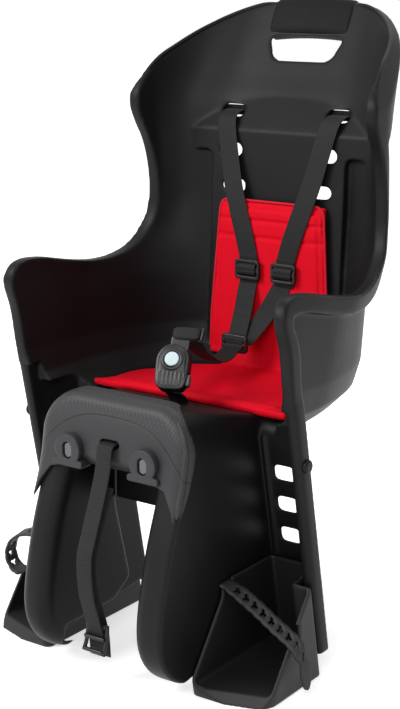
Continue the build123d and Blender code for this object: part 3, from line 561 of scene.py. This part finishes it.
for side_name, sign in (("right", 1), ("left", -1)):
    sideways = [(26 * sign, 246), (24 * sign, 214)]
    turn_back = ribbon("webbing_slider_turn_" + side_name, threaded, sideways, 1, *harness)
    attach(turn_back, "seat")

# %% [markdown]
# ## Ladder lock
# The carrier strap is closed by a ladder lock: a small frame with two side bars and three rungs, and the
# strap weaves between the rungs. Each bar is a round moulded rod, so each is a bead along a short line.

# %% Ladder lock


def bead(name, points, radius, finish, step=1.5, taper=0.0):
    """P(s, a) = C(s) + r(s) (cos(a) U(s) + sin(a) V(s)), U, V square to the run, r tapered at the ends."""
    line, s = smooth_line(points, step)
    run = np.gradient(line, axis=0)
    run /= np.linalg.norm(run, axis=1, keepdims=True)
    first = np.cross(run, np.array([0.31, 0.77, 0.55]))
    first /= np.linalg.norm(first, axis=1, keepdims=True)
    second = np.cross(run, first)
    a = np.linspace(0, 2 * pi, 12, endpoint=False)
    thin = np.ones(len(s))
    if taper > 0:
        thin = np.sqrt(np.clip(np.minimum(s, s[-1] - s) / taper, 0.02, 1))
    ring = np.cos(a)[None, :, None] * first[:, None] + np.sin(a)[None, :, None] * second[:, None]
    grid = line[:, None] + radius * thin[:, None, None] * ring
    made = surface(name, grid, finish)
    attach(made, "seat")
    print(name, "is", round(float(s[-1])), "mm long")
    return made


def lock_point(x, up, out):
    """A point on the lock: sideways, along the strap and out in front of it."""
    return (x, -167.5 + 0.24 * up - 0.97 * out, -116 + 0.97 * up + 0.24 * out)


half_lock = 13
rung_out = 6.6
bars = [[lock_point(x, up, out) for up, out in ((-15, 5.0), (-5, 3.0), (5, 3.0), (15, 5.0))]
        for x in (-half_lock, half_lock)]
bars += [[lock_point(-half_lock, up, rung_out), lock_point(0, up, rung_out + 0.6),
          lock_point(half_lock, up, rung_out)] for up in (14, 0, -14)]
for k, line in enumerate(bars):
    bar = bead("ladder_lock_bar_%d" % (k + 1), line, 2.3, hardware)
    if k == 0:
        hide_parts("ladder_lock")

# %% [markdown]
# ## Harness buckle
# The buckle is a round head with a release button in its middle, and a narrower neck that carries two side
# tabs. Its case is drawn as rings about the button: from the floor of the button's bore, up its wall, over a
# raised collar, out across the face, down the side and back under it. One formula gives how far out the case
# reaches in each direction. A slot in the neck's sides leaves room for the tabs to move in by 2 mm, and a
# coil spring sits under the button.

# %% Buckle case


def on_buckle(points):
    """Points on the buckle's own axes (across, along, out of its face), put into the shared frame."""
    axes = np.array([(0.936, 0.351, 0.0), (-0.1825, 0.4867, 0.8541), (0.30, -0.80, 0.52)])
    return np.array([14.0, -46.0, 160.0]) + points @ axes


def buckle_case(name):
    """P(k, a) = (-2, 4) + r_k(a) (cos a, sin a) at height z_k, r between the bore and the outline R(a)."""
    count = 180
    a = np.linspace(-pi / 2, 3 * pi / 2, count, endpoint=False)
    c, s = np.cos(a), np.sin(a)
    turn = np.degrees(a)
    knots = np.array([
        (-90, 33), (-72, 34.4), (-66, 35.0), (-58, 31.6), (-44, 25.4), (-30, 21.2), (-12, 18.8), (10, 18.5),
        (90, 18.5), (170, 18.5), (192, 18.8), (210, 20.8), (224, 24.4), (238, 30.2), (246, 34.0), (252, 34.6),
        (270, 33)])
    edge = np.interp(turn, knots[:, 0], knots[:, 1])
    edge = np.convolve(np.pad(edge, 3, mode="wrap"), np.ones(7) / 7, mode="valid")
    side = np.where(c > 0, 13.4, 9.4) / np.maximum(np.abs(c), 0.15)
    tab_slots = ((turn > -69) & (turn < -35)) | ((turn > 221) & (turn < 254))
    cut = np.where(tab_slots, np.minimum(edge, side), edge)
    fixed = [(0.3, -7.0), (8.4, -7.0), (8.4, 9.6), (8.8, 10.2), (11.6, 10.2), (12.4, 9.6), (12.8, 8.9)]
    rows = [(np.full(count, r), np.full(count, z)) for r, z in fixed]
    for share in np.linspace(0.08, 1, 14):
        r = 12.8 + share * (edge - 3 - 12.8)
        x, y = -2 + r * c, 4 + r * s
        ribs = np.clip(np.cos(2 * pi * x / 4.6), 0, 1) * np.clip((-9 - y) / 3, 0, 1) * (share < 0.97)
        rows.append((r, 9.0 - 1.4 * share**2 + 0.7 * ribs))
    for t in np.linspace(0.2, 1, 5) * pi / 2:
        rows.append((edge - 3 + 3 * np.sin(t), np.full(count, 6.1 + 1.5 * np.cos(t))))
    rows += [(r, np.full(count, z)) for r, z in ((edge, 5.7), (cut, 5.6), (cut, -5.6), (edge, -5.7))]
    for t in np.linspace(0, 1, 5) * pi / 2:
        rows.append((edge - 3 + 3 * np.cos(t), np.full(count, -6.0 - 3 * np.sin(t))))
    rows += [((edge - 3) * share, np.full(count, -9.0)) for share in (0.6, 0.02)]
    grid = np.stack([np.stack([-2 + r * c, 4 + r * s, z], axis=-1) for r, z in rows])
    return surface(name, on_buckle(grid), hardware)


def brick(name, centre, half, finish, power=6):
    """P(t, a): a box with rounded edges, half widths times (1 - |t|^p)^(1/p) and cos or sin to the 2/p."""
    t = np.sin(np.linspace(-pi / 2, pi / 2, 25)) * 0.999
    a = np.linspace(0, 2 * pi, 32, endpoint=False)
    u = squared(np.cos(a), 2 / power)
    v = squared(np.sin(a), 2 / power)
    girth = (1 - np.abs(t) ** power) ** (1 / power)
    x = centre[0] + half[0] * girth[:, None] * u[None]
    z = centre[2] + half[2] * girth[:, None] * v[None]
    y = np.broadcast_to(centre[1] + half[1] * t[:, None], x.shape)
    uv = np.stack(np.broadcast_arrays(y, half[0] * u[None]), axis=-1)
    return surface(name, on_buckle(np.stack([x, y, z], axis=-1)), finish, uv)


case = buckle_case("buckle_case")
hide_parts("buckle_body")
fold = brick("tongue_webbing_fold", (8, 36, 0), (15.5, 7.2, 4.6), webbing, 4)
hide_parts("buckle_tongue")
plate = brick("tongue_plate", (2, 25, 0), (10.5, 8.5, 1.5), hardware)
ends = on_buckle(np.array([(25.2, 28.6, 1.5), (26.0, 36.0, 2.2), (26.4, 43.2, 1.5)]))
bead("tongue_bar", ends, 1.8, hardware)
for made in (case, fold, plate):
    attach(made, "seat")
for side_name, sign in (("right", 1), ("left", -1)):
    tab = brick("release_tab_" + side_name, (16.6 * sign, -17, 0), (2.6, 6.6, 4.8), grey_tab, 5)
    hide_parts("buckle_tab_" + side_name)
    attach(tab, "tab_" + side_name + "_body")
coil_r = 4.85
turns = np.linspace(0, 8 * pi, 65)
coil_line = np.column_stack([-2 + coil_r * np.cos(turns), 4 + coil_r * np.sin(turns),
                             np.linspace(-6.0, 0.0, 65)])
coil = bead("button_coil", on_buckle(coil_line), 0.7, bright_steel, 0.8)
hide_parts("button_spring")
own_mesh(coil)
print("buckle ready:", len(case.data.polygons), "faces on the case")

# %% [markdown]
# ## Rolled rim
# The head's edge is rolled over, so that no sharp edge is left on the seat. The measured lip ends in a
# narrow wedge there. A round bead along that wedge gives the rolled edge its full, even roundness.

# %% Rolled rim
rim_line = np.array([
    (158.4, 118.4, 443), (157, 124, 451), (155.4, 131.6, 458.6), (153.6, 138.8, 465.6), (151, 147.2, 472.6),
    (148.1, 156.2, 478.6), (145, 167, 484.1), (141.6, 177.5, 489.5), (138, 187, 494.6),
    (134.2, 195.3, 499.1), (129.9, 202.8, 503.4), (124.8, 210.4, 507.7), (118.9, 218, 512.1),
    (110, 227.9, 518), (97.8, 238.7, 524.5), (85.1, 247.1, 529.8), (71.7, 252.9, 533.8), (56, 257.2, 536.6),
])
for side_name, sign in (("right", 1), ("left", -1)):
    rim = bead("rolled_rim_" + side_name, rim_line * (sign, 1, 1), 2.5, black_shell, 3.0, 14.0)

# %% [markdown]
# ## Edge of the trim
# On the right the trim turns round the arch's front corner. A slim bead in the trim's own finish fills that
# corner out, and it fades away at both ends.

# %% Trim corner
corner_line = [
    (69, -127.6, 130.6), (79.6, -129.8, 123.4), (87.4, -133, 113.8), (92.6, -136.3, 99.6), (93.4, -138.5, 90),
    (93.4, -142.2, 70), (93.4, -147, 53), (93.4, -151.4, 40), (93.6, -154.8, 31),
]
bead("trim_corner_right", corner_line, 4.0, grey_trim, 1.5, 12.0)

# %% [markdown]
# ## Ramp of the arch
# Behind the trim the arch's top is a gentle ramp up from the seat. Its wall is thin, so the ramp gets a solid
# skin of its own: a flat rounded section whose width and height follow the measured ramp.

# %% Ramp skin


def ramp_skin(name):
    """P(y, a) = (w(y) cos(a)^(1/5), y, h(y) - 1.7 + 1.9 sin(a)^(1/3)) between the trim and the pad."""
    y = np.linspace(-124, -40, 60)
    wide = np.interp(y, [-124, -118, -105, -95, -85, -75, -65, -55, -40],
                     [62, 65, 69, 73, 77, 80, 82, 84, 86])
    high = np.interp(y, [-126, -122, -118, -112, -40], [131.7, 133.5, 134.1, 133.2, 116.4])
    high = high - 1.2 * np.clip((y + 48) / 8, 0, 1) ** 2
    a = np.linspace(0, 2 * pi, 40, endpoint=False)
    u = squared(np.cos(a), 1 / 5)
    v = squared(np.sin(a), 1 / 3)
    x = wide[:, None] * u[None]
    z = high[:, None] - 1.7 + 1.9 * v[None]
    return surface(name, np.stack([x, np.broadcast_to(y[:, None], x.shape), z], axis=-1), black_shell)


ramp = ramp_skin("arch_ramp_skin")
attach(ramp, "seat")
print("ramp skin ready")

# %% [markdown]
# ## Grip sleeve
# The top bar carries a soft sleeve for the hand. Its section is a rounded oblong that leans with the back,
# and rows of small dimples are pressed into it. The sleeve follows the gentle arch of the bar.

# %% Grip sleeve


def grip_sleeve(name):
    """P(x, a) = C(x) + r(x, a) (24.5 cos(a)^(5/8) E1 + 12 sin(a)^(5/8) E2), r with dimples 6 mm apart."""
    x = np.linspace(-56, 56, 76)
    a = np.linspace(0, 2 * pi, 90, endpoint=False)
    along = np.array([0, 0.443, 0.896])
    deep = np.array([0, 0.896, -0.443])
    end = np.sqrt(np.clip(1 - np.clip((np.abs(x) - 51) / 6, 0, 1) ** 2, 0.35, 1))
    dimple = np.cos(2 * pi * x / 6)[:, None] * np.cos(20 * a)[None]
    scale = end[:, None] * (1 - 0.022 * np.clip(dimple, 0, 1))
    u = squared(np.cos(a), 5 / 8)
    v = squared(np.sin(a), 5 / 8)
    centre = np.column_stack([x, np.full(76, 256.6), 519.4 - 3.5 * (x / 56) ** 2])
    grid = centre[:, None] + (24.5 * scale * u)[..., None] * along + (12 * scale * v)[..., None] * deep
    return surface(name, grid, grip_rubber)


sleeve = grip_sleeve("grip_sleeve")
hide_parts("handle_grip")
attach(sleeve, "seat")
print("grip sleeve ready")

# %% [markdown]
# ## Foot straps
# Each footrest has a moulded rubber strap with a row of holes that hook on a peg, and a leaf-shaped pull tab.
# Its flat pattern is filled with triangles that leave the holes free, bent along the strap's route, and given
# its thickness by a Solidify modifier. The right strap shows its pull tab; the left one ends in its loop.

# %% Foot straps


def foot_strap(name, route, sign, tilt, tail):
    """Flat pattern (s, t), |t| < w(s), with holes; P(s, t) = route(s) + t (0, cos(tilt(s)), sin(tilt(s)))."""
    line, s = smooth_line(route, 1.0)
    long = s[-1]
    pitch = 12.5
    first = 18.0
    count = int((long - first - tail) / pitch) + 1
    leafy = tail > 20
    tip = min(tail, 17) if leafy else 4

    def half(at):
        """Half width: wavy along the holes, then a leaf that ends in a tip."""
        wave = 9.4 - 0.8 * np.cos(2 * pi * (at - first) / pitch) * (at < first + count * pitch)
        leaf = 9.0 * np.sqrt(np.clip(1 - ((at - (long - tip)) / tip) ** 2, 0.004, 1))
        neck = 5.6 + 3.8 * np.clip(np.abs(at - (long - 31)) / 10, 0, 1) if leafy else 9.4
        return np.minimum(np.where(at > long - tip, leaf, wave), neck)

    def bore(angle):
        """Radius of a three-lobed hole."""
        return 3.1 + 1.3 * np.cos(3 * angle)

    at = np.linspace(0, long, 150)
    rim = np.vstack([np.column_stack([at, half(at)]), np.column_stack([at, -half(at)])[::-1]])
    turn = np.linspace(0, 2 * pi, 24, endpoint=False)
    ring = np.column_stack([bore(turn) * np.cos(turn), 1.15 * bore(turn) * np.sin(turn)])
    holes = [ring + (first + pitch * k, 0) for k in range(count)]
    inner = np.stack(np.meshgrid(np.arange(1.5, long, 2.5), np.arange(-6, 6.1, 2.0)), axis=-1).reshape(-1, 2)
    near = np.min([np.linalg.norm(inner - (first + pitch * k, 0), axis=1) for k in range(count)], axis=0)
    inner = inner[(np.abs(inner[:, 1]) < half(inner[:, 0]) - 1) & (near > 5.8)]
    loops = [rim] + holes
    starts = np.cumsum([0] + [len(loop) for loop in loops])
    edges = [(int(a + k), int(a + (k + 1) % n)) for a, n in zip(starts, map(len, loops)) for k in range(n)]
    points = [Vector(row) for row in np.vstack(loops + [inner]).tolist()]
    flat, _, faces, *_ = delaunay_2d_cdt(points, edges, [], 0, 1e-6)
    flat = np.array([tuple(v) for v in flat])
    faces = np.array(faces)
    middle = flat[faces].mean(axis=1)
    keep = np.abs(middle[:, 1]) < half(middle[:, 0])
    for k in range(count):
        away = (middle - (first + pitch * k, 0)) / (1, 1.15)
        keep &= np.linalg.norm(away, axis=1) > bore(np.arctan2(away[:, 1], away[:, 0]))
    x = np.interp(flat[:, 0], s, line[:, 0])
    z = np.interp(flat[:, 0], s, line[:, 1])
    turned = np.radians(tilt) * np.clip(flat[:, 0] / 30, 0, 1)
    y = -73 + flat[:, 1] * np.cos(turned)
    grid = np.column_stack([sign * x, y, z + flat[:, 1] * np.sin(turned)])
    mesh = bpy.data.meshes.new(name)
    mesh.from_pydata((grid / 1000).tolist(), [], faces[keep].tolist())
    made = placed(name, mesh, strap_rubber)
    body = made.modifiers.new("rubber_thickness", "SOLIDIFY")
    body.thickness = 0.0028
    body.offset = 0
    print(name, "is", round(float(long)), "mm long with", count, "holes")
    return made


route_right = [
    (97.2, -63), (102, -64.2), (118, -70), (140, -81.5), (164, -96), (184, -107.5), (194, -118), (200, -134),
    (205, -156),
]
route_left = [
    (97.2, -63), (104, -62), (124, -61), (150, -61), (176, -64), (194, -70), (206, -82), (210, -98),
    (203, -112), (190, -117),
]
foot_straps = {"right": (route_right, 1, 36, 34), "left": (route_left, -1, 10, 10)}
for side_name, shape in foot_straps.items():
    strap = foot_strap("rubber_foot_strap_" + side_name, *shape)
    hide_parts("foot_strap_" + side_name)
    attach(strap, "footrest_" + side_name + "_body")
print("foot straps ready")

# %% [markdown]
# ## Pad
# The pad is thin foam in a red cover, sewn flat round its edge and across its back. A copy of the measured
# pad is remeshed evenly, blown up a little by a cloth simulation with inner pressure, and then pulled in
# along the sewn lines. No point may swell by more than 2.2 mm, so the pad stays in its place on the shell.

# %% Blown-up pad


def blown(name, source, voxel, cap, frames):
    """Copy of a measured piece, remeshed and swelled by cloth pressure; movement is capped in millimetres."""
    mesh = source.data.copy()
    body = bmesh.new()
    body.from_mesh(mesh)
    bmesh.ops.remove_doubles(body, verts=body.verts, dist=1e-5)
    body.to_mesh(mesh)
    body.free()
    mesh.materials.clear()
    made = bpy.data.objects.new(name, mesh)
    bpy.context.scene.collection.objects.link(made)
    even = made.modifiers.new("even", "REMESH")
    even.mode = "VOXEL"
    even.voxel_size = voxel
    cast = bpy.data.meshes.new_from_object(made.evaluated_get(bpy.context.evaluated_depsgraph_get()))
    made.modifiers.clear()
    made.data = cast
    start = np.empty(len(cast.vertices) * 3, dtype=np.float32)
    cast.vertices.foreach_get("co", start)
    outward = np.empty_like(start)
    cast.vertices.foreach_get("normal", outward)
    cast.vertices.foreach_set("co", start - 0.0007 * outward)
    cloth = made.modifiers.new("cloth", "CLOTH")
    cloth.settings.use_pressure = True
    cloth.settings.uniform_pressure_force = 4
    cloth.settings.effector_weights.gravity = 0
    cloth.settings.quality = 5
    cloth.point_cache.frame_start = 1
    cloth.point_cache.frame_end = frames
    scene = bpy.context.scene
    for step in range(1, frames + 1):
        scene.frame_set(step)
    full = bpy.data.meshes.new_from_object(made.evaluated_get(bpy.context.evaluated_depsgraph_get()))
    moved = np.empty_like(start)
    full.vertices.foreach_get("co", moved)
    made.modifiers.clear()
    scene.frame_set(1)
    shift = (moved - start).reshape(-1, 3)
    far = np.linalg.norm(shift, axis=1, keepdims=True)
    shift *= np.minimum(1, cap / 1000 / np.maximum(far, 1e-9))
    full.vertices.foreach_set("co", (start.reshape(-1, 3) + shift).ravel())
    made.data = full
    fine = made.modifiers.new("fine", "SUBSURF")
    fine.levels = 1
    fine.render_levels = 1
    last = bpy.data.meshes.new_from_object(made.evaluated_get(bpy.context.evaluated_depsgraph_get()))
    made.modifiers.clear()
    made.data = last
    last.materials.append(red_cover)
    last.polygons.foreach_set("use_smooth", np.ones(len(last.polygons), dtype=bool))
    print(name, "has", len(last.polygons), "faces, moved", round(float(far.max()) * 1000, 1), "mm at most")
    return made


pad = blown("padded_seat_cover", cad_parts["seat_pad"], 0.0045, 2.2, 12)

# %% [markdown]
# The sewn lines are grooves: two cross the back near its top, and one runs round the pad a finger's width
# inside its edge. Each point of the pad moves in along its own normal by a bell-shaped amount. The back's two
# upper corners are then rounded off.

# %% Sewn lines
back_edge = np.array([(-85, 110), (-84, 170), (-74, 312), (74, 312), (84, 170), (85, 110)])
seat_edge = np.array([
    (-58, 150), (-76, 132), (-98, 108), (-118, 66), (-124, 20), (-124, -10), (124, -10), (124, 20), (118, 66),
    (98, 108), (76, 132), (58, 150),
])


def from_edge(points, edge):
    """Distance of 2-D points from an open line of straight runs."""
    a, b = edge[:-1], edge[1:]
    along = np.clip(np.sum((points[:, None] - a) * (b - a), axis=2) / np.sum((b - a) ** 2, axis=1), 0, 1)
    return np.linalg.norm(points[:, None] - (a + along[..., None] * (b - a)), axis=2).min(axis=1)


place = np.empty(len(pad.data.vertices) * 3, dtype=np.float32)
facing = np.empty_like(place)
pad.data.vertices.foreach_get("co", place)
pad.data.vertices.foreach_get("normal", facing)
place = place.reshape(-1, 3) * 1000
facing = facing.reshape(-1, 3)
on_back = (facing[:, 1] < -0.5) & (place[:, 2] > 128)
on_seat = (facing[:, 2] > 0.5) & (place[:, 1] < 142)
sewn_wide = 1.8
sewn_in = 10
sewn_deep = 2.0
groove = np.zeros(len(place))
for level in (288, 268):
    groove += on_back * np.exp(-((place[:, 2] - level) / sewn_wide) ** 2)
groove += on_back * np.exp(-((from_edge(place[:, [0, 2]], back_edge) - sewn_in) / sewn_wide) ** 2)
groove += on_seat * np.exp(-((from_edge(place[:, [0, 1]], seat_edge) - sewn_in) / sewn_wide) ** 2)
place -= sewn_deep * np.clip(groove, 0, 1)[:, None] * facing
corner_x = 62
corner_z = 300
corner_r = 12
corner = np.column_stack([np.abs(place[:, 0]) - corner_x, place[:, 2] - corner_z])
reach = np.linalg.norm(corner, axis=1)
rounded = (corner > 0).all(axis=1) & (reach > corner_r)
pull = np.where(rounded, corner_r / np.maximum(reach, 1e-6), 1)[:, None] * corner
place[:, 0] = np.where(rounded, np.sign(place[:, 0]) * (corner_x + pull[:, 0]), place[:, 0])
place[:, 2] = np.where(rounded, corner_z + pull[:, 1], place[:, 2])
pad.data.vertices.foreach_set("co", (place / 1000).astype(np.float32).ravel())
pad.data.update()
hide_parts("seat_pad")
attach(pad, "seat")
print("sewn lines pulled in")

# %% [markdown]
# A narrow folded tape binds the cover's edge. It is a thin round bead, a little duller than the cover, that
# follows the edge of the back part.

# %% Edge binding


def over_back(x, z):
    """A point on the front edge of the back part."""
    return (x - 2.2 * np.sign(x), float(panel_y(z)) - 7.4, z - 1.5)


left_edge = [
    (-84.5, 130), (-84, 150), (-83.5, 172), (-80.5, 216), (-77, 262), (-74.8, 292), (-73.5, 303),
    (-70, 308.5), (-62, 311.8), (-30, 312),
]
right_edge = [(-x, z) for x, z in reversed(left_edge)]
binding_back = [over_back(*point) for point in left_edge + [(0, 312)] + right_edge]
bead("pad_binding_back", binding_back, 1.5, binding_tape)
